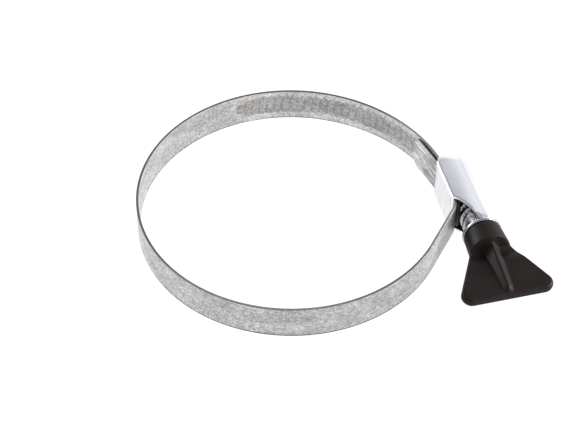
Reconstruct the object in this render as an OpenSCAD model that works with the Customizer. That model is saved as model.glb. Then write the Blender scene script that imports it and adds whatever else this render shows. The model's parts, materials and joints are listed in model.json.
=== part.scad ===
// Worm-drive hose clamp with a wing screw.
//
// Frame: the origin is the centre of the clamped hose circle, halfway across the band.
// +Z runs along the hose, +X points at the housing, and the screw runs along Y with its
// wing handle towards -Y.
//
// The band is one springy strip. It is cut here into a few curved segments that turn on
// hairline gaps, so that the strip can flex as the screw draws its free end along.
// Distances along the band (s) are measured on its middle line from the housing's rear
// mouth: negative into the housing, positive backwards round the loop.

/* [Band] */
// Diameter of the hose that the clamp holds at this setting
hose_d = 98.5; // [96:0.5:101]
// Width of the band
band_w = 12; // [11:0.5:12]
// Thickness of the band
band_t = 0.8; // [0.7:0.05:0.8]
// Angle at which the tongue under the free end stops
tongue_end = 18.8; // [16:0.1:20]
// Length of the threaded zone, from the free end back round the loop
thread_zone = 104; // [60:1:110]

/* [Worm screw] */
// Pitch of the worm and of the grooves in the band
pitch = 2.65; // [2.5:0.05:2.8]
// Crest radius of the worm
crest_r = 5.0; // [4.8:0.05:5]
// Root radius of the worm
root_r = 4.25; // [4:0.05:4.3]
// Depth to which the crests sink into the band
bite = 0.45; // [0.3:0.05:0.5]
// Radius of the thrust flange
flange_r = 6.5; // [6.2:0.1:6.6]
// Thickness of the thrust flange
flange_t = 1.1; // [0.8:0.1:1.2]

/* [Housing] */
// Thickness of the housing's plate inside the band
plate_t = 0.9; // [0.7:0.05:1]
// Thickness of the arched shell over the worm
shell_t = 1.0; // [0.8:0.05:1.2]
// Half width of the housing at its folded edges
fold_half_w = 7.45; // [7.3:0.05:7.6]
// Where the arch ends at the rear
shell_rear = 4.0; // [3.5:0.1:4.5]
// Where the arch ends at the front, under the flange
shell_front = -25.6; // [-26:0.1:-25]
// Where the inner plate ends at the rear
plate_rear = 0.8; // [0.5:0.1:1]
// Where the inner plate ends at the front
plate_front = -14.6; // [-15:0.1:-14]

/* [Wing handle] */
// Radius of the collar round the screw's head, at the flange
collar_r = 6.3; // [6:0.1:6.4]
// Radius of the collar where the wings begin
collar_end_r = 6.8; // [6.5:0.1:7]
// Length of the collar
collar_l = 7.6; // [7:0.1:8.5]
// Half span of the wings at their tips
wing_half = 15; // [14:0.1:16]
// Overall length of the handle, from the flange to the wing tips
handle_l = 27.7; // [25:0.1:28]
// Thickness of the wings at their tips
wing_t = 2.8; // [2.6:0.1:3.6]

/* [Fits] */
// Clearance between the worm's crests and the shell
worm_clear = 0.08; // [0.05:0.01:0.1]
// Gap between the tongue and the free end that slides over it
slide_gap = 0.14; // [0.1:0.01:0.2]
// Width of the hairline gap between two band segments
flex_gap = 0.08; // [0.06:0.01:0.1]

/* [Hidden] */
$fn = 96;
big = 60;
eps = 0.01;

hose_r = hose_d / 2;
mid_r = hose_r + band_t / 2;

// Layers in the housing, outwards from the hose: plate, tongue, free end, worm.
tongue_x = hose_r + plate_t + band_t / 2;
free_x = tongue_x + band_t + slide_gap;
screw_x = free_x + band_t / 2 - bite + crest_r;

// The free end leaves the mouth through a short bend, then eases onto the loop.
mouth_bend = 9;
mouth_r = 12;
lift_end = 62;
lift_r = (free_x - mid_r * cos(lift_end) - mouth_r * (1 - cos(mouth_bend)))
    / (cos(mouth_bend) - cos(lift_end));
lift_c = (mid_r - lift_r) * [cos(lift_end), sin(lift_end)];
mouth_y = lift_c.y + (lift_r - mouth_r) * sin(mouth_bend);
mouth_c = [free_x - mouth_r, mouth_y];
mouth_s = arc_length(mouth_r, mouth_bend);
lift_s = mouth_s + arc_length(lift_r, lift_end - mouth_bend);

// The fixed end leaves the housing's front in a straight run that meets the loop here.
run_angle = 40;
front_bend_r = 5;
rear_bend_r = 6;
rear_angle = 13;
tongue_hinge_y = 0.95;
first_hinge = 318;
tip_round = 2.7;
tail_end = -17.5;
tail_s = tail_end - mouth_y;

// Directions of the band's flexing lines, from the fixed end round to the free end.
hinge_dirs = [first_hinge, 258, 200, 16, mouth_bend / 2];
link_count = len(hinge_dirs) - 1;

// Grooves for the worm, the first one just behind the free end's tip.
groove_w = 1.45;
groove_extra = 0.1;
lead_angle = atan(pitch / (2 * PI * (crest_r - bite / 2)));
worm_rear = 1.4;
worm_front = -23.2;
groove_count = floor(thread_zone / pitch);
first_groove = tail_s + 1.2;
groove_y = mouth_y + first_groove;
thread_crest = 0.75;
thread_foot = 1.35;
steps_per_turn = 24;

// Handle.
head_af = 8.4;
head_l = 5.2;
flange_y = shell_front - 0.1;
handle_y = flange_y - flange_t - 0.05;
collar_end = handle_y - collar_l;
handle_end = handle_y - handle_l;
tip_corner = 3.2;
rib_r = 4.6;
rib_tip_r = 1.9;

// Front scoop of the housing: one arc from the plate's end up to the flange.
scoop_c = [hose_r - 12.6, plate_front - 15.04];
scoop_r = 19.6;
fold_r = 1.2;

function link_name(i) = str("band_flex_", i);
function arc_length(r, a) = r * a * PI / 180;
function arc_angle(r, s) = s / r * 180 / PI;
function unit(a) = [cos(a), sin(a)];

// Distance along the band at which it points in direction a.
function s_at(a) =
    a <= mouth_bend ? arc_length(mouth_r, a)
    : a <= lift_end ? mouth_s + arc_length(lift_r, a - mouth_bend)
    : lift_s + arc_length(mid_r, a - lift_end);

// Direction of the band's outward face at distance s.
function dir_at(s) =
    s <= 0 ? 0
    : s <= mouth_s ? arc_angle(mouth_r, s)
    : s <= lift_s ? mouth_bend + arc_angle(lift_r, s - mouth_s)
    : lift_end + arc_angle(mid_r, s - lift_s);

// Point on the band's middle line at distance s.
function point_at(s) =
    s <= 0 ? [free_x, mouth_y + s]
    : s <= mouth_s ? mouth_c + mouth_r * unit(dir_at(s))
    : s <= lift_s ? lift_c + lift_r * unit(dir_at(s))
    : mid_r * unit(dir_at(s));

// Part of a round band of middle radius r about c, from direction a0 to a1.
module arc_strip(c, r, a0, a1) {
    translate([c.x, c.y, -band_w / 2])
        intersection() {
            difference() {
                cylinder(r = r + band_t / 2, h = band_w);
                translate([0, 0, -1]) cylinder(r = r - band_t / 2, h = band_w + 2);
            }
            translate([0, 0, -1])
                linear_extrude(band_w + 2)
                    polygon([
                        [0, 0],
                        2 * r * unit(a0),
                        2 * r * unit((a0 + a1) / 2),
                        2 * r * unit(a1)
                    ]);
        }
}

// Straight band between two points of its middle line, and past them by the overlap.
module flat_strip(p0, p1, overlap = 0) {
    run = p1 - p0;
    translate([p0.x, p0.y, 0])
        rotate([0, 0, atan2(run.y, run.x)])
            translate([-overlap, -band_t / 2, -band_w / 2])
                cube([norm(run) + 2 * overlap, band_t, band_w]);
}

// The moving band between two distances along it. Its stretches overlap by a hair, so
// that they fuse.
module band_strip(s0, s1) {
    if (s0 < 0)
        flat_strip(point_at(s0), point_at(min(s1, eps)));
    if (s0 < mouth_s && s1 > 0)
        arc_strip(mouth_c, mouth_r, dir_at(max(s0, 0)), dir_at(min(s1, mouth_s + eps)));
    if (s0 < lift_s && s1 > mouth_s)
        arc_strip(lift_c, lift_r, dir_at(max(s0, mouth_s)), dir_at(min(s1, lift_s + eps)));
    if (s1 > lift_s)
        arc_strip([0, 0], mid_r, dir_at(max(s0, lift_s)), dir_at(s1));
}

// One groove, cut as the worm's own crest would press it.
module groove(s) {
    p = point_at(s);
    translate([p.x, p.y, 0])
        rotate([0, 0, dir_at(s)])
            translate([band_t / 2 - bite + crest_r, 0, 0])
                rotate([lead_angle, 0, 0])
                    rotate([90, 0, 0])
                        cylinder(r = crest_r + groove_extra, h = groove_w, center = true);
}

// Moving band with the grooves that fall on it.
module threaded_strip(s0, s1) {
    difference() {
        band_strip(s0, s1);
        for (k = [0:groove_count - 1]) {
            s = first_groove + k * pitch;
            if (s > s0 - groove_w && s < s1 + groove_w) groove(s);
        }
    }
}

// Rounds the two corners of a band end. The block's end face is at y = 0 and the band
// runs on towards +Y from it.
module end_block(l) {
    for (side = [-1, 1])
        translate([0, tip_round, side * (band_w / 2 - tip_round)])
            rotate([0, 90, 0])
                cylinder(r = tip_round, h = 4 * band_t, center = true);
    translate([-2 * band_t, 0, -band_w / 2 + tip_round])
        cube([4 * band_t, l, band_w - 2 * tip_round]);
    translate([-2 * band_t, tip_round, -band_w / 2])
        cube([4 * band_t, l - tip_round, band_w]);
}

module band_flex(i) {
    color("silver")
        threaded_strip(s_at(hinge_dirs[i]) + flex_gap / 2, s_at(hinge_dirs[i - 1]) - flex_gap / 2);
}

module band_free_end() {
    s1 = s_at(hinge_dirs[link_count]) - flex_gap / 2;
    color("silver")
        intersection() {
            threaded_strip(tail_s, s1);
            translate([free_x, tail_end, 0]) end_block(30);
        }
}

// From the first flexing line, along the straight run, and through the housing.
module band_fixed_end() {
    along = [sin(run_angle), cos(run_angle)];
    corner = mid_r * unit(-run_angle)
        + (tongue_x - mid_r * cos(run_angle)) / sin(run_angle) * along;
    cut = front_bend_r * tan(run_angle / 2);
    start_a = first_hinge - 360 + arc_angle(mid_r, flex_gap / 2);
    bend_y = corner.y + cut;
    color("silver") {
        arc_strip([0, 0], mid_r, start_a, -run_angle);
        flat_strip(mid_r * unit(-run_angle), corner - cut * along, eps);
        arc_strip([tongue_x - front_bend_r, bend_y], front_bend_r, -run_angle, 0);
        flat_strip([tongue_x, bend_y - eps], [tongue_x, tongue_hinge_y - flex_gap / 2]);
    }
}

// The band's inner end, which lies under the free end behind the housing.
module band_tongue() {
    back = [-sin(rear_angle), cos(rear_angle)];
    corner = mid_r * unit(rear_angle)
        - (tongue_x - mid_r * cos(rear_angle)) / sin(rear_angle) * back;
    cut = rear_bend_r * tan(rear_angle / 2);
    bend_y = corner.y - cut;
    color("silver") {
        flat_strip([tongue_x, tongue_hinge_y + flex_gap / 2], [tongue_x, bend_y + eps]);
        arc_strip([tongue_x - rear_bend_r, bend_y], rear_bend_r, 0, rear_angle);
        flat_strip(corner + cut * back, mid_r * unit(rear_angle), eps);
        intersection() {
            arc_strip([0, 0], mid_r, rear_angle, tongue_end);
            rotate([0, 0, tongue_end])
                translate([mid_r, 0, 0])
                    rotate([180, 0, 0]) end_block(12);
        }
    }
}

// Direction, seen from the screw's axis, in which a line from p touches a circle about it.
function touch_angle(p, r) =
    atan2(p.y, p.x - screw_x) - acos(r / norm([p.x - screw_x, p.y]));

// Solid tunnel along Y from y0 back to y1: a foot at x of half width w, and walls leaning in
// to an arch of radius r. The walls end a hair inside the arch, so that the two fuse.
module tunnel(x, w, r, y0, y1) {
    a = touch_angle([x, w], r);
    top = [screw_x, 0] + (r - 2 * eps) * unit(a);
    along_y(y0, y1)
        polygon([[x, w], top, [top.x, -top.y], [x, -w]]);
    shaft(r, y0, y1);
}

// A flat shape drawn in X and Z, extruded along Y from y0 back to y1.
module along_y(y0, y1) {
    translate([0, y0, 0])
        rotate([90, 0, 0])
            linear_extrude(y0 - y1) children();
}

module clamp_housing() {
    inner_r = crest_r + worm_clear;
    color("gainsboro")
        difference() {
            tunnel(hose_r, fold_half_w, inner_r + shell_t, shell_rear, shell_front);
            tunnel(hose_r + plate_t, fold_half_w - shell_t + 0.1, inner_r, shell_rear + 1, shell_front - 1);
            for (side = [-1, 1])
                along_y(shell_rear + 1, shell_front - 1)
                    translate([hose_r, side * fold_half_w]) fold_corner(side);
            // front scoop under the screw, the plate's square rear end and the slanted walls
            translate([scoop_c.x, scoop_c.y, -big / 2]) cylinder(r = scoop_r, h = big);
            translate([0, 0, -big / 2])
                linear_extrude(big)
                    polygon([
                        [hose_r - 1, plate_rear],
                        [hose_r + plate_t + slide_gap, plate_rear],
                        [hose_r + 1.8, shell_rear - 0.2],
                        [hose_r + 1.8, shell_rear + 1],
                        [hose_r - 1, shell_rear + 1]
                    ]);
        }
}

// What a fold of radius fold_r leaves outside it, in the corner at the origin.
module fold_corner(side) {
    difference() {
        translate([-eps, side > 0 ? -fold_r : -1])
            square([fold_r + eps, fold_r + 1]);
        translate([fold_r, -side * fold_r]) circle(r = fold_r);
    }
}

// Corners of the thread's section at one step: foot, crest, crest, foot.
function thread_ring(i) = let (
    a = i * 360 / steps_per_turn,
    y = thread_start + i * pitch / steps_per_turn,
    sunk = root_r - 0.3
) [for (q = [[sunk, -thread_foot], [crest_r, -thread_crest], [crest_r, thread_crest], [sunk, thread_foot]])
    [screw_x + q[0] * sin(a), y + q[1] / 2, q[0] * cos(a)]];

thread_start = groove_y + pitch / 4 + pitch * ceil((worm_front - groove_y) / pitch);
thread_steps = floor((worm_rear - thread_start) / pitch * steps_per_turn);

module worm_thread() {
    points = [for (i = [0:thread_steps]) each thread_ring(i)];
    last = 4 * thread_steps;
    faces = concat(
        [[2, 1, 0], [3, 2, 0]],
        [[last, last + 1, last + 2], [last, last + 2, last + 3]],
        [for (i = [0:thread_steps - 1], j = [0:3]) let (a = 4 * i + j, b = 4 * i + (j + 1) % 4)
            each [[a, b, a + 4], [b, b + 4, a + 4]]]
    );
    polyhedron(points = points, faces = faces);
}

// Cylinder along the screw's axis from y0 to the lower y1.
module shaft(r, y0, y1, sides = $fn) {
    translate([screw_x, y0, 0])
        rotate([90, 0, 0])
            cylinder(r = r, h = y0 - y1, $fn = sides);
}

// Cone along the screw's axis, of radius r0 at y0 and r1 at the lower y1.
module taper(r0, r1, y0, y1) {
    translate([screw_x, y0, 0])
        rotate([90, 0, 0])
            cylinder(r1 = r0, r2 = r1, h = y0 - y1);
}

module worm_screw() {
    color("lightgray") {
        worm_thread();
        shaft(root_r, worm_rear + 0.6, flange_y);
        shaft(flange_r, flange_y, flange_y - flange_t);
        shaft(head_af / sqrt(3), flange_y - flange_t, handle_y - head_l, 6);
    }
}

module wing_tip(side) {
    translate([screw_x + side * (wing_half - tip_corner), handle_end + tip_corner, 0])
        cylinder(r = tip_corner, h = wing_t, center = true, $fn = 32);
}

module wing_handle() {
    web_t = 4.6;
    web_w = 13.4;
    color([0.16, 0.15, 0.14])
        difference() {
            union() {
                taper(collar_r, collar_end_r, handle_y, collar_end);
                taper(rib_r, rib_tip_r, collar_end, handle_end);
                hull() {
                    translate([screw_x - web_w / 2, collar_end, -web_t / 2])
                        cube([web_w, 3, web_t]);
                    wing_tip(-1);
                    wing_tip(1);
                }
            }
            shaft(head_af / sqrt(3), handle_y + 1, handle_y - head_l, 6);
        }
}

clamp_housing();
worm_screw();
wing_handle();
band_fixed_end();
band_tongue();
for (i = [1:link_count])
    band_flex(i);
band_free_end();
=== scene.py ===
"""Looks of a worm-drive hose clamp with a wing screw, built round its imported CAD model.

Sizes are in millimetres in the clamp's own frame: the origin is the centre of the clamped
hose circle, +Z runs along the hose, +X points at the housing, and the screw runs along Y
with its wing handle towards -Y. Meshes are scaled to metres as they are made.
"""
import json
import math

import bpy
from mathutils import Matrix, Vector


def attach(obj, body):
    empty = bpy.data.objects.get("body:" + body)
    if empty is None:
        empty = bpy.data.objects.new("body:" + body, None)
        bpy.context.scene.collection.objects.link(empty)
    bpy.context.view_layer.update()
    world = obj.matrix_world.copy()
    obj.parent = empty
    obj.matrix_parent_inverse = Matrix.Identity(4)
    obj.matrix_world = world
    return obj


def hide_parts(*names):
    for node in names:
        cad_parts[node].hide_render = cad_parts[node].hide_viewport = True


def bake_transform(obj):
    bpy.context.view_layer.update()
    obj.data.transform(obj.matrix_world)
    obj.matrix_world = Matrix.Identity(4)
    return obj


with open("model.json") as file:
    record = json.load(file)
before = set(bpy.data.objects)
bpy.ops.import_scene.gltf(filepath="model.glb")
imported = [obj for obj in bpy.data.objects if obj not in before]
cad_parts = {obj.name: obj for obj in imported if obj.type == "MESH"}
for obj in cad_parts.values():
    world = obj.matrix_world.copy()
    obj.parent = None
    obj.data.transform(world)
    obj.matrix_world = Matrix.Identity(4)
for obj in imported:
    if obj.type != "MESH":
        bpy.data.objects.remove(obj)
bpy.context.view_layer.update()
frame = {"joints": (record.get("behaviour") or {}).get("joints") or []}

MM = 0.001

# Band: one strip, from the free end's tip in the housing round to the tongue's tip.
HOSE_R = 49.25
BAND_W = 12.0
BAND_T = 0.8
MID_R = HOSE_R + BAND_T / 2
PLATE_T = 0.9
SLIDE_GAP = 0.14
TONGUE_X = HOSE_R + PLATE_T + BAND_T / 2
FREE_X = TONGUE_X + BAND_T + SLIDE_GAP
FREE_TIP_Y = -17.5
MOUTH_BEND = math.radians(9)
MOUTH_R = 12.0
LIFT_END = math.radians(62)
RUN_ANGLE = math.radians(40)
FRONT_BEND_R = 5.0
REAR_ANGLE = math.radians(13)
REAR_BEND_R = 6.0
TONGUE_END = math.radians(18.8)
TIP_ROUND = 2.7
RIM_ROUND = 0.12

# Worm, and the band's grooves that it runs in. A FLANK is where a slope starts and ends,
# measured from the middle of its crest or groove. THREAD_FADE is how far the thread takes to
# run out at the front and the rear. LAST_GROOVES is the share of a groove's length that a
# groove has: any, the last but one, and the last.
PITCH = 2.65
CREST_R = 5.0
ROOT_R = 4.25
ENGAGED = 0.45
SCREW_X = FREE_X + BAND_T / 2 - ENGAGED + CREST_R
WORM_REAR = 1.4
WORM_FRONT = -23.2
THREAD_FLANK = (0.34, 0.74)
THREAD_FADE = (1.6, 1.0)
FLANGE_R = 6.5
FLANGE_T = 1.1
HEAD_AF = 8.4
HEAD_L = 5.2
FIRST_GROOVE = 1.2
THREAD_ZONE = 104.0
GROOVES_END = THREAD_ZONE + 2 * PITCH
BITE_R = CREST_R - 0.22
LEAD = math.atan(PITCH / (2 * math.pi * BITE_R))
GROOVE_HALF = 2.5
LAST_GROOVES = (1.0, 0.75, 0.4)
GROOVE_RISE = 0.45
GROOVE_DEPTH = 0.58
GROOVE_FLANK = (0.45, 1.0)
RIDGE_HEIGHT = 0.24
RIDGE_LOW = 0.05
RIDGE_FLANK = (0.65, 1.3)
RIDGE_GROWS = (6.0, 14.0)
# the worn field, and where painted shade lies in the lines between the ridges
WORN_FIELD = (1.2, 1.6)
VALLEY_SHADE_LINE = (0.3, 0.5)

# Housing: one folded sheet
SHEET_T = 0.9
SHELL_R = 6.08
FOLD_HALF_W = 7.45
FOLD_R = 1.2
SHELL_REAR = 4.0
SHELL_FRONT = -25.6
PLATE_REAR = 0.8
SCOOP_X = 36.65
SCOOP_Y = -29.64
SCOOP_R = 19.6
REAR_SLANT = 1.8
EDGE_ROUND = 0.22
WALL_BOW = 0.2
FLANGE_GAP = 0.22
FLANGE_REAR = SHELL_FRONT - 0.1
FLANGE_FRONT = FLANGE_REAR - FLANGE_T

# Wing handle. RIB pairs are at the collar and at the far end. WEB_STARTS and COLLAR_STEP are
# where the web grows and the collar ends, from COLLAR_END towards the rear.
HANDLE_Y = FLANGE_FRONT - 0.05
COLLAR_R = 6.3
COLLAR_END_R = 6.8
COLLAR_END = HANDLE_Y - 7.6
HANDLE_END = HANDLE_Y - 27.7
WING_HALF = 15.0
WING_T = 2.8
WEB_T = 4.6
WEB_HALF = 6.7
TIP_CORNER = 3.2
WEB_EDGE = 1.1
WEB_STARTS = (3.2, 0.4)
RIB_H = (4.7, 2.3)
RIB_HALF = (2.7, 1.5)
RIB_FADE = 3.2
COLLAR_STEP = (0.25, -0.95)
HOLLOW = 0.9
HOLLOW_AT = 2.6
HOLLOW_REACH = 2.4
MOULD_ROUND = 0.7

# Camera: where it stands, what it looks at, and its lens. The floor is at the housing's
# lowest face.
CAMERA_AT = (-101.9, -395.18, 415.36)
LOOK_AT = (0.3, 0.0, 0.0)
ROLL = math.radians(0.4)
LENS = 111.5
SHIFT = (-0.0052, -0.0201)
FLOOR_Z = -7.34
FLOOR_HALF_M = 6.0

# How finely the meshes are cut: points round or across, and steps along
GROOVED_ROWS, PLAIN_ROWS = 36, 8
GROOVED_STEP, PLAIN_STEP = 0.22, 0.7
RIM_QUADS = 5
SHEET_STEP = 1 / 14
SCREW_SIDES = 96
HANDLE_SIDES = 160
TINY = 1e-6


def smooth(t):
    """Eases from 0 to 1 as t goes from 0 to 1, and stays there outside."""
    t = min(max(t, 0.0), 1.0)
    return t * t * (3 - 2 * t)


def ease_between(x, start, end):
    """Eases from 0 to 1 as x goes from start to end, in either direction."""
    return smooth((x - start) / (end - start))


def spread(start, end, step):
    """Even values from start to end, no further apart than step."""
    count = max(1, math.ceil(abs(end - start) / step - TINY))
    return [start + (end - start) * i / count for i in range(count + 1)]


def turned(vector, angle):
    """A flat vector, turned left by an angle."""
    c, s = math.cos(angle), math.sin(angle)
    return Vector((c * vector.x - s * vector.y, s * vector.x + c * vector.y))


def ray(angle):
    """The unit vector at an angle."""
    return Vector((math.cos(angle), math.sin(angle)))


# ---------------------------------------------------------------- meshes


def make_piece(name, points, faces, materials, sharp_angle=40, face_materials=None):
    """A smooth-shaded mesh object from points in millimetres."""
    mesh = bpy.data.meshes.new(name)
    mesh.from_pydata([Vector(p) * MM for p in points], [], faces)
    for material in materials:
        mesh.materials.append(material)
    if face_materials:
        mesh.polygons.foreach_set("material_index", face_materials)
    mesh.polygons.foreach_set("use_smooth", [True] * len(mesh.polygons))
    mesh.set_sharp_from_angle(angle=math.radians(sharp_angle))
    mesh.validate()
    mesh.update()
    piece = bpy.data.objects.new(name, mesh)
    bpy.context.collection.objects.link(piece)
    return piece


def grid_faces(rows, columns, close_rows=False):
    """Quads over rows of points, each row a closed loop of columns."""
    faces = []
    for i in range(rows if close_rows else rows - 1):
        a, b = i * columns, (i + 1) % rows * columns
        for j in range(columns):
            k = (j + 1) % columns
            faces.append((a + j, a + k, b + k, b + j))
    return faces


def write_attribute(piece, name, kind, values):
    """Stores one number or vector per point, for the material to read."""
    made = piece.data.attributes.new(name, kind, "POINT")
    made.data.foreach_set("vector" if kind == "FLOAT_VECTOR" else "value", values)


# ---------------------------------------------------------------- band


class MiddleLine:
    """The band's middle line: stretches laid end to end, each straight or turning left."""

    def __init__(self, start, heading, stretches):
        self.stretches = []
        point, s = Vector(start), 0.0
        for length, radius in stretches:
            self.stretches.append((s, length, radius, point, heading))
            point, heading = self.walk(point, heading, radius, length)
            s += length
        self.length = s

    @staticmethod
    def walk(point, heading, radius, distance):
        """Where a walk along one stretch ends: the point, and the heading there."""
        if radius is None:
            return point + distance * ray(heading), heading
        centre = point + radius * ray(heading + math.pi / 2)
        turn = distance / radius
        return centre + turned(point - centre, turn), heading + turn

    def at(self, s):
        """The point at distance s, and the direction of the band's outer face there."""
        for start, length, radius, point, heading in self.stretches:
            if s <= start + length + TINY:
                break
        point, heading = self.walk(point, heading, radius, s - start)
        return point, ray(heading - math.pi / 2)

    def nearest(self, x, y):
        """Distance along the line of its point nearest to x, y."""
        steps = spread(0, self.length, 0.05)
        return min(steps, key=lambda s: (self.at(s)[0] - Vector((x, y))).length_squared)


def band_line():
    """The free end runs straight out of the housing, round the loop and back in under itself."""
    sagitta = MOUTH_R * (1 - math.cos(MOUTH_BEND))
    lift_r = (FREE_X - MID_R * math.cos(LIFT_END) - sagitta) / (
        math.cos(MOUTH_BEND) - math.cos(LIFT_END)
    )
    mouth_y = (MID_R - lift_r) * math.sin(LIFT_END) + (lift_r - MOUTH_R) * math.sin(MOUTH_BEND)
    along = Vector((math.sin(RUN_ANGLE), math.cos(RUN_ANGLE)))
    front = (TONGUE_X - MID_R * math.cos(RUN_ANGLE)) / math.sin(RUN_ANGLE)
    front_cut = FRONT_BEND_R * math.tan(RUN_ANGLE / 2)
    front_y = -MID_R * math.sin(RUN_ANGLE) + front * along.y + front_cut
    rear = (TONGUE_X - MID_R * math.cos(REAR_ANGLE)) / math.sin(REAR_ANGLE)
    rear_cut = REAR_BEND_R * math.tan(REAR_ANGLE / 2)
    rear_y = MID_R * math.sin(REAR_ANGLE) - rear * math.cos(REAR_ANGLE) - rear_cut
    return MiddleLine(
        (FREE_X, FREE_TIP_Y),
        math.pi / 2,
        [
            (mouth_y - FREE_TIP_Y, None),
            (MOUTH_R * MOUTH_BEND, MOUTH_R),
            (lift_r * (LIFT_END - MOUTH_BEND), lift_r),
            (MID_R * (2 * math.pi - RUN_ANGLE - LIFT_END), MID_R),
            (front - front_cut, None),
            (FRONT_BEND_R * RUN_ANGLE, FRONT_BEND_R),
            (rear_y - front_y, None),
            (REAR_BEND_R * REAR_ANGLE, REAR_BEND_R),
            (rear - rear_cut, None),
            (MID_R * (TONGUE_END - REAR_ANGLE), MID_R),
        ],
    )


LINE = band_line()
HINGES = {
    j["name"]: LINE.nearest(j["pos_m"][0] / MM, j["pos_m"][1] / MM)
    for j in frame["joints"]
    if j["name"] != "screw_turn"
}


def groove_distance(s, z):
    """How far a place on the band is from the middle of the nearest pressed groove."""
    along = s + z * math.tan(LEAD) - FIRST_GROOVE
    last = math.floor(THREAD_ZONE / PITCH) - 1
    k = min(max(round(along / PITCH), 0), last)
    half = GROOVE_HALF * LAST_GROOVES[max(0, k - last + 2)]
    return math.hypot(along - k * PITCH, max(abs(z - GROOVE_RISE) - half, 0))


def worn_and_valley_shade(s, z):
    """How worn and shaded the band's inner face looks: 0 outside the grooves' field, highest in
    the lines between the ridges, where the extra darkening is painted shade."""
    along = (s + z * math.tan(LEAD) - FIRST_GROOVE) / PITCH
    line = ease_between(abs(along - round(along)), *VALLEY_SHADE_LINE)
    return (1 - ease_between(groove_distance(s, z), *WORN_FIELD)) * (0.6 + 0.4 * line)


def half_width(s):
    """Half the band's width, less where its two ends are rounded."""
    from_tip = min(s, LINE.length - s, TIP_ROUND)
    return BAND_W / 2 - TIP_ROUND + math.sqrt(TIP_ROUND**2 - (TIP_ROUND - from_tip) ** 2)


def band_section(s, rows):
    """The band's section at s as a loop of (outward offset, z): inner face, rim, outer face,
    rim."""
    w, half, e = half_width(s), BAND_T / 2, RIM_ROUND
    cut = e * (1 - math.cos(math.pi / 4))
    heights = [(-1 + 2 * i / rows) * (w - e) for i in range(rows + 1)]
    # the ridges stay low where the free end lies on the tongue
    past_mouth = s - HINGES["flex_4_bend"]
    ridge = RIDGE_LOW + (RIDGE_HEIGHT - RIDGE_LOW) * ease_between(past_mouth, *RIDGE_GROWS)
    inner, outer = [], []
    for z in heights:
        d = groove_distance(s, z) if s < GROOVES_END else PITCH
        inner.append((-half - ridge * (1 - ease_between(d, *RIDGE_FLANK)), z))
        outer.append((half - GROOVE_DEPTH * (1 - ease_between(d, *GROOVE_FLANK)), z))
    top = [(-half + cut, w - cut), (-half + e, w)]
    top += [(-x, z) for x, z in reversed(top)]
    bottom = [(-x, -z) for x, z in top]
    return inner + top + outer[::-1] + bottom


def section_is_rim(rows):
    """For each quad round a band section, whether it belongs to a rim."""
    rim = [True] * RIM_QUADS
    return [False] * rows + rim + [False] * rows + rim


def band_stations(s0, s1):
    """Where to cut sections between s0 and s1: close in the threaded zone and at the ends."""
    tail = LINE.length - TIP_ROUND
    cuts = sorted({s0, s1, *[c for c in (TIP_ROUND, GROOVES_END, tail) if s0 < c < s1]})
    quarter = spread(0, math.pi / 2, 0.16)
    stations = []
    for a, b in zip(cuts, cuts[1:]):
        if a < TINY:
            stations += [TIP_ROUND * (1 - math.cos(t)) for t in quarter]
        elif abs(a - tail) < TINY:
            stations += [tail + TIP_ROUND * math.sin(t) for t in quarter]
        else:
            stations += spread(a, b, GROOVED_STEP if b <= GROOVES_END + TINY else PLAIN_STEP)
    stations.sort()
    return [s for i, s in enumerate(stations) if i == 0 or s - stations[i - 1] > TINY]


def band_piece(name, s0, s1, face, edge):
    """A stretch of the band as one closed strip, with its place along the band stored."""
    rows = GROOVED_ROWS if s0 < GROOVES_END else PLAIN_ROWS
    stations = band_stations(s0, s1)
    points, places, pressed = [], [], []
    for s in stations:
        point, outward = LINE.at(s)
        for offset, z in band_section(s, rows):
            points.append((*(point + offset * outward), z))
            places += [s * MM, z * MM, offset * MM]
            pressed.append(worn_and_valley_shade(s, z) if offset < 0 else 0.0)
    columns = len(points) // len(stations)
    faces = grid_faces(len(stations), columns)
    kinds = [int(rim) for rim in section_is_rim(rows)] * (len(stations) - 1)
    faces += [tuple(reversed(range(columns))), tuple(range(len(points) - columns, len(points)))]
    kinds += [1, 1]
    piece = make_piece(name, points, faces, [face, edge], 50, kinds)
    write_attribute(piece, "strip", "FLOAT_VECTOR", places)
    write_attribute(piece, "pressed", "FLOAT", pressed)
    return piece


# Each stretch of the band lies over one joint: its name, the joint, the bodies before and after
# it from the free end's side, the reach of the bend, and the CAD nodes it stands for.
BAND_STRETCHES = [
    ("band_grooved_end", "free_end_bend", "free_end", "flex_4", 2.2, ["band_free_end"]),
    ("band_mouth", "flex_4_bend", "flex_4", "flex_3", 3.6, ["band_flex_4"]),
    ("band_back", "flex_3_bend", "flex_3", "flex_2", 24.0, ["band_flex_3"]),
    ("band_left", "flex_2_bend", "flex_2", "flex_1", 24.0, ["band_flex_2"]),
    ("band_front", "flex_1_bend", "flex_1", "housing", 13.0, ["band_flex_1", "band_fixed_end"]),
    ("band_tongue_end", "tongue_bend", "housing", "tongue", 1.6, ["band_tongue"]),
]


def build_band(face, edge):
    """The band's stretches, cut halfway between the joints."""
    at = [HINGES[joint] for _, joint, *_ in BAND_STRETCHES]
    ends = [0.0, *[(a + b) / 2 for a, b in zip(at, at[1:])], LINE.length]
    for i, (name, joint, before, after, reach, nodes) in enumerate(BAND_STRETCHES):
        piece = band_piece(name, ends[i], ends[i + 1], face, edge)
        start, end = (LINE.at(at[i] + side * reach)[0] * MM for side in (-1, 1))
        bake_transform(piece)
        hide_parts(*nodes)


# ---------------------------------------------------------------- housing


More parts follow.
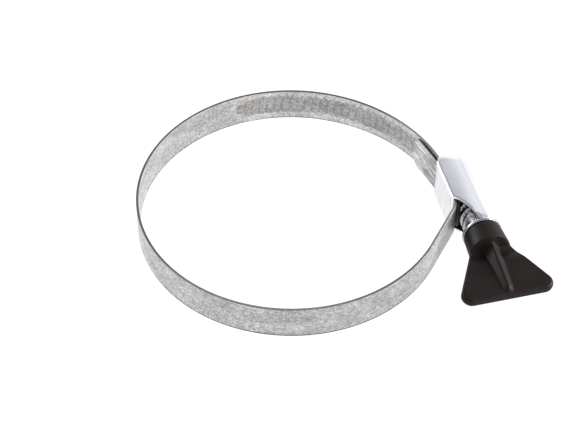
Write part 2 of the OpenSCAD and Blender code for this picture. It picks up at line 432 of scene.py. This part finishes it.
def housing_profile():
    """The folded sheet's outer face in X and Z: half of it, from the plate's middle round the
    fold and up the side wall to the top of the arch, as (point, outward normal)."""
    fold = Vector((HOSE_R + FOLD_R, FOLD_HALF_W - FOLD_R))
    arch = Vector((SCREW_X, 0))
    gap = arch - fold
    # the wall is a common tangent of the fold and the arch, both on its inner side
    lean = math.atan2(gap.y, gap.x) + math.asin((SHELL_R - FOLD_R) / gap.length)
    wall = lean + math.pi / 2
    profile = [(Vector((HOSE_R, z)), ray(math.pi)) for z in spread(0, fold.y, 1.2)[:-1]]
    profile += [(fold + FOLD_R * ray(a), ray(a)) for a in spread(math.pi, wall, 0.13)]
    foot, top = fold + FOLD_R * ray(wall), arch + SHELL_R * ray(wall)
    for t in spread(0, 1, 0.1)[1:-1]:
        bow = WALL_BOW * math.sin(math.pi * t)
        profile.append((foot.lerp(top, t) + bow * ray(wall), ray(wall)))
    profile += [(arch + SHELL_R * ray(a), ray(a)) for a in spread(wall, 0, 0.06)]
    return profile


def front_limit(x):
    """Where the sheet ends at the front: a scoop under the screw, up to the flange."""
    reach = max(SCOOP_R**2 - (x - SCOOP_X) ** 2, 0)
    return max(SHELL_FRONT + FLANGE_GAP, SCOOP_Y + math.sqrt(reach))


def rear_limit(x, z):
    """Where the sheet ends at the rear: square on the plate, slanted up the side walls."""
    slack = 0.1
    if abs(z) < FOLD_HALF_W - FOLD_R - slack / 2 and x < HOSE_R + SHEET_T + slack:
        return PLATE_REAR
    return PLATE_REAR + (SHELL_REAR - PLATE_REAR) * min((x - HOSE_R) / REAR_SLANT, 1)


def build_housing(zinc):
    """The sheet as one closed skin: outer face, rounded rear edge, inner face, front edge."""
    half = housing_profile()
    mirrored = [(Vector((p.x, -p.y)), Vector((n.x, -n.y))) for p, n in half[-2:0:-1]]
    e = EDGE_ROUND
    edge = [(0.3 * e, 0.3 * e), (e, 0), (SHEET_T - e, 0), (SHEET_T - 0.3 * e, 0.3 * e)]
    # round the sheet's section: depth in the sheet, inset from its end, share from front to rear
    loop = [(0, e, share) for share in spread(0, 1, SHEET_STEP)]
    loop += [(depth, inset, 1) for depth, inset in edge]
    loop += [(SHEET_T, e, share) for share in spread(1, 0, SHEET_STEP)]
    loop += [(depth, inset, 0) for depth, inset in reversed(edge)]
    points = []
    for p, n in half + mirrored:
        for depth, inset, share in loop:
            q = p - depth * n
            front, rear = front_limit(q.x) + inset, rear_limit(q.x, q.y) - inset
            points.append((q.x, front + (rear - front) * share, q.y))
    faces = grid_faces(len(points) // len(loop), len(loop), close_rows=True)
    piece = make_piece("housing_sheet", points, faces, [zinc], 50)
    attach(piece, "housing")
    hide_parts("clamp_housing")


# ---------------------------------------------------------------- screw and handle


def around(sides):
    """Even angles round a circle."""
    return [2 * math.pi * i / sides for i in range(sides)]


def lathe(name, stations, material, sides):
    """A closed turned piece on the screw's axis. Each station is (y, radius at an angle),
    with angles from +Z towards +X."""
    points = []
    for y, radius in stations:
        for a in around(sides):
            r = radius(a)
            points.append((SCREW_X + r * math.sin(a), y, r * math.cos(a)))
    faces = grid_faces(len(stations), sides)
    faces += [tuple(reversed(range(sides))), tuple(range(len(points) - sides, len(points)))]
    return make_piece(name, points, faces, [material], 35)


def thread_radius(y, a):
    """The worm's radius at y and angle a: a rounded trapezoid that climbs one pitch a turn."""
    along = y - (FREE_TIP_Y + FIRST_GROOVE) - PITCH * (0.25 + a / (2 * math.pi))
    off = abs(along - PITCH * round(along / PITCH))
    fade = ease_between(y, WORM_FRONT, WORM_FRONT + THREAD_FADE[0])
    fade *= ease_between(y, WORM_REAR, WORM_REAR - THREAD_FADE[1])
    return ROOT_R + (CREST_R - ROOT_R) * (1 - ease_between(off, *THREAD_FLANK)) * fade


def round_stations(steps):
    """Stations for lathe from (y, radius) steps of a round profile."""
    return [(y, lambda a, r=r: r) for y, r in steps]


def hexagon_radius(across_flats):
    """Radius of a hexagon at an angle, with slightly rounded corners."""
    def radius(a):
        off = (a + math.pi / 6) % (math.pi / 3) - math.pi / 6
        return min(across_flats / 2 / math.cos(off), across_flats / 2 * 1.13)

    return radius


def build_screw(zinc):
    """The screw from rear to front: chamfered end, worm, neck, flange and hexagon head."""
    rim = 0.3
    stations = round_stations(
        [(2.0, 2.9), (2.0, 3.0), (1.9, 3.5), (1.5, ROOT_R), (WORM_REAR, ROOT_R)]
    )
    for y in spread(WORM_REAR, WORM_FRONT, 0.11)[1:]:
        stations.append((y, lambda a, y=y: thread_radius(y, a)))
    stations += round_stations([
        (FLANGE_REAR + 0.5, ROOT_R), (FLANGE_REAR + 0.12, ROOT_R + 0.12),
        (FLANGE_REAR, ROOT_R + 0.5), (FLANGE_REAR, FLANGE_R - rim),
        (FLANGE_REAR - 0.3 * rim, FLANGE_R - 0.3 * rim), (FLANGE_REAR - rim, FLANGE_R),
        (FLANGE_FRONT + rim, FLANGE_R), (FLANGE_FRONT + 0.3 * rim, FLANGE_R - 0.3 * rim),
        (FLANGE_FRONT, FLANGE_R - rim), (FLANGE_FRONT, HEAD_AF / 2 + 0.8),
    ])
    head_end = HANDLE_Y - HEAD_L
    for y, play in ((FLANGE_FRONT, 0.04), (head_end + 0.5, 0.04), (head_end, 0.9)):
        stations.append((y, hexagon_radius(HEAD_AF - play)))
    piece = lathe("worm_thread_and_flange", stations, zinc, SCREW_SIDES)
    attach(piece, "screw")
    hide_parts("worm_screw")


def wing_outline(y):
    """Half the web's width at y: a straight side that runs into the rounded wing tip."""
    tip = Vector((WING_HALF - TIP_CORNER, HANDLE_END + TIP_CORNER))
    root = Vector((WEB_HALF, COLLAR_END))
    back = root - tip
    touch = tip + TIP_CORNER * ray(
        math.atan2(back.y, back.x) - math.acos(TIP_CORNER / back.length)
    )
    if y > touch.y:
        return root.x + (touch.x - root.x) * (root.y - y) / (root.y - touch.y)
    return tip.x + math.sqrt(max(TIP_CORNER**2 - (y - tip.y) ** 2, 0))


def ridge_shape(u):
    """A rib's height across it: straight flanks and a rounded crest, for u from -1 to 1."""
    crest = 0.25
    top = math.hypot(1, crest)
    return max(top - math.hypot(u, crest), 0) / (top - crest)


def corner_cut(distance, radius):
    """How much a rounded corner takes off at a distance from the end face."""
    inside = max(radius - distance, 0)
    return radius - math.sqrt(max(radius**2 - inside**2, 0))


def build_handle(plastic):
    """The handle lofted from sections along the screw's axis: collar, rib and web."""
    ys = [HANDLE_Y - MOULD_ROUND * (1 - math.cos(t)) for t in spread(0, math.pi / 2, 0.3)]
    ys += spread(HANDLE_Y - MOULD_ROUND, COLLAR_END + 1.0, 0.8)[1:]
    ys += spread(COLLAR_END + 1.0, COLLAR_END - 1.6, 0.1)[1:]
    ys += spread(COLLAR_END - 1.6, HANDLE_END + TIP_CORNER, 0.4)[1:]
    ys += [HANDLE_END + TIP_CORNER * (1 - math.sin(t)) for t in spread(0, math.pi / 2, 0.06)[1:]]
    points = []
    for y in ys:
        points += handle_section(y)
    rows, sides = len(ys), HANDLE_SIDES
    faces = grid_faces(rows, sides)
    faces.append(tuple(range(len(points) - sides, len(points))))
    # the socket for the screw's head
    socket = hexagon_radius(HEAD_AF)
    for y in (HANDLE_Y, HANDLE_Y - HEAD_L):
        for a in around(sides):
            r = socket(a)
            points.append((SCREW_X + r * math.cos(a), y, r * math.sin(a)))
    mouth, floor = rows * sides, (rows + 1) * sides
    for i in range(sides):
        k = (i + 1) % sides
        faces.append((i, k, mouth + k, mouth + i)[::-1])
        faces.append((mouth + i, mouth + k, floor + k, floor + i)[::-1])
    faces.append(tuple(range(floor, floor + sides))[::-1])
    piece = make_piece("wing_grip", points, faces, [plastic], 50)
    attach(piece, "screw")
    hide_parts("wing_handle")


def across(share, half, middle):
    """A point's place across a section that is 2 * half wide, from its share of -1 to 1: the
    inner half of the shares spans the rib, out to middle, and the rest spans the web."""
    if abs(share) < 0.5:
        return 2 * share * middle
    return math.copysign(middle + (2 * abs(share) - 1) * (half - middle), share)


def handle_section(y):
    """One section of the handle as a closed loop of points: the taller of the round collar
    and the web with its rib, and only the latter past the collar's end."""
    down = min(max((COLLAR_END - y) / (COLLAR_END - HANDLE_END), 0), 1)
    collar = COLLAR_R + (COLLAR_END_R - COLLAR_R) * (HANDLE_Y - y) / (HANDLE_Y - COLLAR_END)
    collar -= corner_cut(HANDLE_Y - y, MOULD_ROUND)
    pinch = corner_cut(y - HANDLE_END, MOULD_ROUND)
    step = ease_between(y - COLLAR_END, *COLLAR_STEP)
    hollow = HOLLOW * math.exp(-(((COLLAR_END - HOLLOW_AT - y) / HOLLOW_REACH) ** 2))
    flat = (WEB_T + (WING_T - WEB_T) * down) / 2 - hollow - pinch
    rib_h = RIB_H[0] + (RIB_H[1] - RIB_H[0]) * down - flat
    rib_h *= ease_between(y, HANDLE_END, HANDLE_END + RIB_FADE)
    rib_half = RIB_HALF[0] + (RIB_HALF[1] - RIB_HALF[0]) * down
    web = ease_between(y - COLLAR_END, *WEB_STARTS)
    half = collar + (wing_outline(min(y, COLLAR_END)) - collar) * web
    loop = []
    for a in around(HANDLE_SIDES):
        x = across(math.cos(a), half, 1.2 * rib_half)
        edge = min((half - abs(x)) / WEB_EDGE, 1)
        web_h = flat * math.sqrt(max(1 - (1 - edge) ** 2, 0))
        web_h += rib_h * ridge_shape(x / rib_half)
        round_h = math.sqrt(max(collar**2 - x * x, 0))
        tall = max(round_h, web_h * web)
        h = tall + (web_h - tall) * step
        loop.append((SCREW_X + x, y, math.copysign(h, math.sin(a))))
    return loop


# ---------------------------------------------------------------- materials


def new_material(name):
    """A material with its node tree and principled shader."""
    material = bpy.data.materials.new(name)
    material.use_nodes = True
    tree = material.node_tree
    return material, tree, tree.nodes["Principled BSDF"]


def add_node(tree, kind, settings=None, **inputs):
    """A node with its sockets set by name; a value may be another node's output."""
    node = tree.nodes.new(kind)
    for key, value in (settings or {}).items():
        setattr(node, key, value)
    for key, value in inputs.items():
        socket = node.inputs[key.replace("_", " ")]
        if isinstance(value, bpy.types.NodeSocket):
            tree.links.new(value, socket)
        else:
            socket.default_value = value
    return node


def ramp(tree, value, stops):
    """A colour ramp over value, from (position, colour) stops."""
    node = add_node(tree, "ShaderNodeValToRGB", Fac=value)
    elements = node.color_ramp.elements
    while len(elements) < len(stops):
        elements.new(0.5)
    for element, (position, colour) in zip(elements, stops):
        element.position = position
        element.color = colour if len(colour) == 4 else (*colour, 1)
    return node.outputs["Color"]


def grey(value, tint=(1, 1, 1)):
    """A colour from one value, with a tint."""
    return tuple(value * t for t in tint)


def strip_coordinates(tree):
    """Place along and across the band, which stays on the band as it bends."""
    return add_node(tree, "ShaderNodeAttribute", {"attribute_name": "strip"}).outputs["Vector"]


def scaled(tree, vector, scale):
    """A place scaled for a noise, in cells a metre along each axis."""
    node = add_node(tree, "ShaderNodeMapping", Vector=vector)
    node.inputs["Scale"].default_value = scale
    return node.outputs["Vector"]


def mixed(tree, share, a, b, blend="MIX"):
    """Two colours mixed; each may be a colour or another node's output."""
    node = tree.nodes.new("ShaderNodeMix")
    node.data_type = "RGBA"
    node.blend_type = blend
    for socket, value in ((node.inputs[0], share), (node.inputs[6], a), (node.inputs[7], b)):
        if isinstance(value, bpy.types.NodeSocket):
            tree.links.new(value, socket)
        else:
            socket.default_value = value if isinstance(value, float) else (*value, 1)
    return node.outputs[2]


def add_bump(tree, shader, height, strength, distance):
    """Raises the surface by a height, to a distance in metres."""
    bump = add_node(tree, "ShaderNodeBump", Height=height, Strength=strength)
    bump.inputs["Distance"].default_value = distance
    tree.links.new(bump.outputs["Normal"], shader.inputs["Normal"])


def tone_along(tree, stops):
    """A tone that changes along the band, from (distance in mm, tone) stops."""
    along = add_node(tree, "ShaderNodeSeparateXYZ", Vector=strip_coordinates(tree)).outputs["X"]
    share = add_node(
        tree, "ShaderNodeMapRange", Value=along, From_Max=LINE.length * MM
    ).outputs["Result"]
    return ramp(tree, share, [(distance / LINE.length, tone) for distance, tone in stops])


def step_over(tree, value, start, end):
    """Rises from 0 to 1 as a value in mm passes from start to end."""
    return add_node(
        tree, "ShaderNodeMapRange", Value=value, From_Min=start * MM, From_Max=end * MM
    ).outputs["Result"]


def galvanised_steel():
    """Hot-dipped zinc: a fine matt spangle with bright flecks, duller where the grooves press,
    with painted light and shade along each face and a painted shade line along the lower rim.
    """
    material, tree, shader = new_material("galvanised steel")
    place = strip_coordinates(tree)
    flecks = add_node(
        tree, "ShaderNodeTexNoise", Vector=scaled(tree, place, (2300, 2500, 900)),
        Scale=1.0, Detail=3.0, Roughness=0.75,
    )
    grain = add_node(
        tree, "ShaderNodeTexNoise", Vector=scaled(tree, place, (700, 1300, 700)),
        Scale=1.0, Detail=4.0, Roughness=0.65,
    )
    clouds = add_node(
        tree, "ShaderNodeTexNoise", Vector=scaled(tree, place, (90, 210, 120)),
        Scale=1.0, Detail=3.0, Roughness=0.6,
    )
    base = ramp(tree, grain.outputs["Fac"], [(0.3, grey(0.33)), (0.7, grey(0.61))])
    bright = ramp(
        tree, flecks.outputs["Fac"], [(0.3, grey(0.68)), (0.5, grey(0.95)), (0.66, grey(1.65))],
    )
    soft = ramp(
        tree, clouds.outputs["Fac"],
        [(0.3, grey(0.82, (1, 0.99, 0.97))), (0.7, grey(1.18, (1, 1.01, 1.04)))],
    )
    colour = mixed(tree, 1.0, mixed(tree, 1.0, base, bright, "MULTIPLY"), soft, "MULTIPLY")
    # the grooves' field is worn duller, and the lines between the ridges get painted shade
    pressed = add_node(tree, "ShaderNodeAttribute", {"attribute_name": "pressed"}).outputs["Fac"]
    worn_and_shaded = ramp(tree, pressed, [(0.0, grey(1)), (0.6, grey(0.66)), (1.0, grey(0.52))])
    colour = mixed(tree, 1.0, colour, worn_and_shaded, "MULTIPLY")
    stain = tone_along(tree, [(95, grey(1)), (100, grey(1.08, (1.06, 0.97, 0.89)))])
    colour = mixed(tree, pressed, colour, mixed(tree, 1.0, colour, stain, "MULTIPLY"))
    # painted light and shade along the band: the outer face darker towards the housing, the inner
    # face lighter or darker by place, darker on the tongue near the housing
    front = HINGES["flex_1_bend"]
    outer = tone_along(
        tree,
        [(front - 75, grey(0.98)), (front - 45, grey(0.84)), (front - 15, grey(0.8)),
         (front + 8, grey(0.98))],
    )
    tip = LINE.length
    inner = tone_along(
        tree,
        [(96, grey(1.12)), (112, grey(0.8)), (front, grey(0.85)), (tip - 17, grey(0.62)),
         (tip - 9, grey(0.85)), (tip - 3, grey(1.08))],
    )
    rubbed = add_node(
        tree, "ShaderNodeTexNoise", Vector=scaled(tree, place, (110, 900, 100)),
        Scale=1.0, Detail=4.0, Roughness=0.6,
    )
    streaks = ramp(
        tree, rubbed.outputs["Fac"], [(0.36, grey(0.6)), (0.5, grey(0.95)), (0.62, grey(1.5))]
    )
    tongue = tone_along(tree, [(tip - 18, grey(0)), (tip - 17, grey(1))])
    colour = mixed(tree, tongue, colour, mixed(tree, 1.0, colour, streaks, "MULTIPLY"))
    parts = add_node(tree, "ShaderNodeSeparateXYZ", Vector=place)
    # which face a place is on: each face gets its own painted light and shade, and the lower
    # rim's painted shade line its own strength
    side = step_over(tree, parts.outputs["Z"], -0.1, 0.1)
    colour = mixed(tree, 1.0, colour, mixed(tree, side, inner, outer), "MULTIPLY")
    # painted shade: a thin dark line along the lower rim, fainter on the hose's side
    lower_rim_shade = step_over(tree, parts.outputs["Y"], 0.62 - BAND_W / 2, 0.4 - BAND_W / 2)
    shade = mixed(tree, side, grey(0.55), grey(0.22))
    colour = mixed(tree, lower_rim_shade, colour, mixed(tree, 1.0, colour, shade, "MULTIPLY"))
    tree.links.new(colour, shader.inputs["Base Color"])
    rough = ramp(tree, flecks.outputs["Fac"], [(0.3, grey(0.6)), (0.7, grey(0.36))])
    tree.links.new(rough, shader.inputs["Roughness"])
    shader.inputs["Metallic"].default_value = 0.9
    add_bump(tree, shader, flecks.outputs["Fac"], 0.4, 0.00006)
    return material


def sheared_edge():
    """The band's slit rims: dark steel with fine streaks along the strip, with painted light and
    shade along the band that is darkest where the tongue lies under the free end."""
    material, tree, shader = new_material("sheared steel edge")
    place = strip_coordinates(tree)
    streaks = add_node(
        tree, "ShaderNodeTexNoise", Vector=scaled(tree, place, (300, 3000, 5000)),
        Scale=1.0, Detail=4.0, Roughness=0.65,
    )
    colour = ramp(
        tree, streaks.outputs["Fac"],
        [(0.3, grey(0.085, (1, 0.94, 0.93))), (0.7, grey(0.17, (1, 0.95, 0.94)))],
    )
    # painted light and shade along the rims: dark inside the housing and darkest where the tongue
    # lies under the free end, lighter at the mouth and on two stretches round the front
    front, tip = HINGES["flex_1_bend"], LINE.length
    tone = tone_along(
        tree,
        [(15, grey(0.3)), (19, grey(2.2, (1, 0.94, 0.9))), (35, grey(2.2, (1, 0.94, 0.9))),
         (56, grey(1)), (front - 110, grey(1)), (front - 85, grey(1.8)), (front - 45, grey(1.8)),
         (front - 22, grey(1)), (front - 10, grey(1)),
         (front + 12, grey(1.9)), (tip - 18, grey(1.9)), (tip - 17, grey(0.12))],
    )
    colour = mixed(tree, 1.0, colour, tone, "MULTIPLY")
    # the tongue's rim is rubbed bright on the hose's side; the dark under the free end is painted
    # shade
    parts = add_node(tree, "ShaderNodeSeparateXYZ", Vector=place)
    hose_side = step_over(tree, parts.outputs["Z"], 0.1, -0.15)
    tongue = tone_along(tree, [(tip - 17.5, grey(0)), (tip - 17, grey(1))])
    rubbed = mixed(tree, 1.0, tongue, mixed(tree, hose_side, grey(0), grey(0.3)), "MULTIPLY")
    colour = mixed(tree, 1.0, colour, rubbed, "ADD")
    tree.links.new(colour, shader.inputs["Base Color"])
    rough = ramp(tree, streaks.outputs["Fac"], [(0.3, grey(0.6)), (0.7, grey(0.42))])
    tree.links.new(rough, shader.inputs["Roughness"])
    shader.inputs["Metallic"].default_value = 0.8
    add_bump(tree, shader, streaks.outputs["Fac"], 0.3, 0.00004)
    return material


def bright_zinc(name, tone, rough_low, rough_high):
    """Blue-bright zinc plate: near mirror, with a faint milky cloud and rolling marks, and
    painted shade on the faces towards the hose.
    """
    material, tree, shader = new_material(name)
    place = add_node(tree, "ShaderNodeTexCoord").outputs["Object"]
    clouds = add_node(
        tree, "ShaderNodeTexNoise", Vector=scaled(tree, place, (160, 90, 160)),
        Scale=1.0, Detail=4.0, Roughness=0.6,
    )
    colour = ramp(
        tree, clouds.outputs["Fac"],
        [(0.3, grey(tone, (0.94, 0.97, 1.0))), (0.7, grey(tone * 1.06, (0.99, 0.98, 1.0)))],
    )
    marks = add_node(
        tree, "ShaderNodeTexNoise", Vector=scaled(tree, place, (900, 1500, 170)),
        Scale=1.0, Detail=5.0, Roughness=0.7,
    )
    streaky = ramp(
        tree, marks.outputs["Fac"], [(0.32, grey(0.66)), (0.5, grey(0.88)), (0.65, grey(0.98))]
    )
    # on the faces towards the hose, the plate, the rolling marks also darken it as painted shade;
    # the other faces take a little of it
    facing = add_node(tree, "ShaderNodeNewGeometry").outputs["Normal"]
    flat = add_node(tree, "ShaderNodeSeparateXYZ", Vector=facing).outputs["X"]
    inward = add_node(
        tree, "ShaderNodeMapRange", Value=flat, From_Min=-0.7, From_Max=-0.95, To_Min=0.12
    ).outputs["Result"]
    rolled_and_shaded = mixed(tree, 1.0, colour, streaky, "MULTIPLY")
    tree.links.new(mixed(tree, inward, colour, rolled_and_shaded), shader.inputs["Base Color"])
    rough = ramp(tree, clouds.outputs["Fac"], [(0.3, grey(rough_low)), (0.7, grey(rough_high))])
    tree.links.new(rough, shader.inputs["Roughness"])
    shader.inputs["Metallic"].default_value = 1.0
    add_bump(tree, shader, marks.outputs["Fac"], 0.02, 0.00005)
    return material


def moulded_plastic():
    """Satin black-brown plastic with a fine spark-eroded mould texture."""
    material, tree, shader = new_material("moulded plastic")
    place = add_node(tree, "ShaderNodeTexCoord").outputs["Object"]
    grain = add_node(
        tree, "ShaderNodeTexNoise", Vector=scaled(tree, place, (2600, 2600, 2600)),
        Scale=1.0, Detail=4.0, Roughness=0.6,
    )
    clouds = add_node(
        tree, "ShaderNodeTexNoise", Vector=scaled(tree, place, (140, 140, 140)),
        Scale=1.0, Detail=3.0, Roughness=0.6,
    )
    colour = ramp(
        tree, clouds.outputs["Fac"],
        [(0.3, grey(0.003, (2.0, 1.0, 0.8))), (0.7, grey(0.0042, (2.0, 1.0, 0.8)))],
    )
    tree.links.new(colour, shader.inputs["Base Color"])
    rough = ramp(tree, clouds.outputs["Fac"], [(0.3, grey(0.5)), (0.7, grey(0.6))])
    tree.links.new(rough, shader.inputs["Roughness"])
    shader.inputs["Specular IOR Level"].default_value = 0.18
    add_bump(tree, shader, grain.outputs["Fac"], 0.25, 0.00005)
    return material


# ---------------------------------------------------------------- stage


def build_floor():
    """A plain pale floor, lit from below like a light table, so that nothing throws a shadow
    on it."""
    h = FLOOR_HALF_M
    corners = [(-h, -h), (h, -h), (h, h), (-h, h)]
    mesh = bpy.data.meshes.new("floor")
    mesh.from_pydata([(x, y, FLOOR_Z * MM) for x, y in corners], [], [(0, 1, 2, 3)])
    floor = bpy.data.objects.new("floor", mesh)
    bpy.context.collection.objects.link(floor)
    material, _, shader = new_material("pale floor")
    shader.inputs["Base Color"].default_value = (0.12, 0.12, 0.12, 1)
    shader.inputs["Roughness"].default_value = 0.9
    shader.inputs["Specular IOR Level"].default_value = 0.1
    shader.inputs["Emission Color"].default_value = (1, 1, 1, 1)
    shader.inputs["Emission Strength"].default_value = 0.98
    mesh.materials.append(material)


def add_softbox(name, at, size, power):
    """A square area light that faces the clamp."""
    light = bpy.data.lights.new(name, "AREA")
    light.size = size
    light.energy = power
    lamp = bpy.data.objects.new(name, light)
    lamp.location = at
    lamp.rotation_euler = (-Vector(at)).to_track_quat("-Z", "Y").to_euler()
    bpy.context.collection.objects.link(lamp)


def build_light():
    """A bright room, white near the horizon and darker overhead, with soft boxes."""
    world = bpy.data.worlds.new("studio")
    bpy.context.scene.world = world
    world.use_nodes = True
    tree = world.node_tree
    direction = add_node(tree, "ShaderNodeTexCoord").outputs["Generated"]
    height = add_node(tree, "ShaderNodeSeparateXYZ", Vector=direction).outputs["Z"]
    colour = ramp(
        tree, height,
        [(0.0, (1.12, 1.12, 1.12)), (0.36, (1.15, 1.15, 1.18)), (0.62, (0.56, 0.57, 0.62)),
         (0.78, (0.38, 0.39, 0.43)), (1.0, (0.38, 0.39, 0.42))],
    )
    tree.links.new(colour, tree.nodes["Background"].inputs["Color"])
    tree.nodes["Background"].inputs["Strength"].default_value = 1.0
    add_softbox("side box", (0.95, -0.2, 0.4), 0.5, 24.0)
    add_softbox("low box behind", (-0.82, 0.8, 0.29), 0.45, 9.0)


def build_camera():
    """A long lens from the left, above and in front, looking down on the loop."""
    data = bpy.data.cameras.new("camera")
    data.lens = LENS
    data.shift_x, data.shift_y = SHIFT
    data.clip_start, data.clip_end = 0.01, 20
    camera = bpy.data.objects.new("camera", data)
    at, target = Vector(CAMERA_AT) * MM, Vector(LOOK_AT) * MM
    aim = (target - at).to_track_quat("-Z", "Y").to_matrix().to_4x4()
    camera.matrix_world = Matrix.Translation(at) @ aim @ Matrix.Rotation(ROLL, 4, "Z")
    bpy.context.collection.objects.link(camera)
    bpy.context.scene.camera = camera


build_camera()
build_floor()
build_light()
build_band(galvanised_steel(), sheared_edge())
build_housing(bright_zinc("bright zinc", 0.86, 0.14, 0.22))
# the screw takes the housing's zinc at about half the tone: painted shade for the screw sitting
# in the housing
build_screw(bright_zinc("turned zinc in painted shade", 0.46, 0.2, 0.3))
build_handle(moulded_plastic())
bpy.context.scene.view_settings.view_transform = "Standard"
